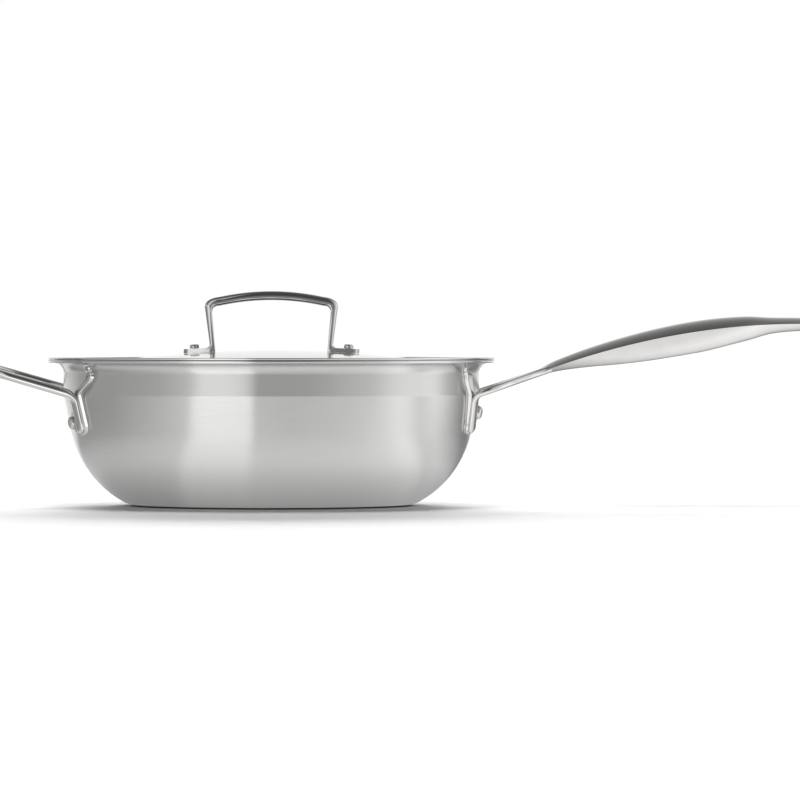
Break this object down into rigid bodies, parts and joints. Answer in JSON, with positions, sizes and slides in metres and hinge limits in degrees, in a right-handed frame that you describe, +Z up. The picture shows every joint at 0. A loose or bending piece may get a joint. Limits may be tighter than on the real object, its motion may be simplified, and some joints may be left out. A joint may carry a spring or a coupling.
{
  "type": "chef pan",
  "caption": "Stainless clad chef pan with rounded belly, riveted forked long handle, looped helper handle and inset domed lid with an arched handle.",
  "frame": {"origin": "centre of the pan's flat underside", "axes": "+Z up along the pan's axis, +X out along the long handle, -X out along the helper handle"},
  "size_m": [0.5043, 0.256, 0.1225],
  "materials": {
    "pan_steel": "satin polished stainless steel",
    "core": "plain rolled aluminium",
    "cast_steel": "mirror polished cast stainless steel",
    "lid_steel": "polished stainless steel",
    "rivet_steel": "polished stainless steel"
  },
  "bodies": {
    "pan": {"pan_outer_ply": "pan_steel", "pan_core_ply": "core", "pan_inner_ply": "pan_steel", "long_handle": "cast_steel", "helper_handle": "cast_steel", "long_handle_rivet_front": "rivet_steel", "long_handle_rivet_back": "rivet_steel", "helper_handle_rivet_front": "rivet_steel", "helper_handle_rivet_back": "rivet_steel"},
    "lid": {"lid": "lid_steel", "lid_handle": "cast_steel", "lid_rivet_left": "rivet_steel", "lid_rivet_right": "rivet_steel"}
  },
  "joints": [
    {"name": "lid_lift", "type": "slide", "parent": "pan", "child": "lid", "axis": [0, 0, 1], "range_m": [0, 0.15]}
  ]
}
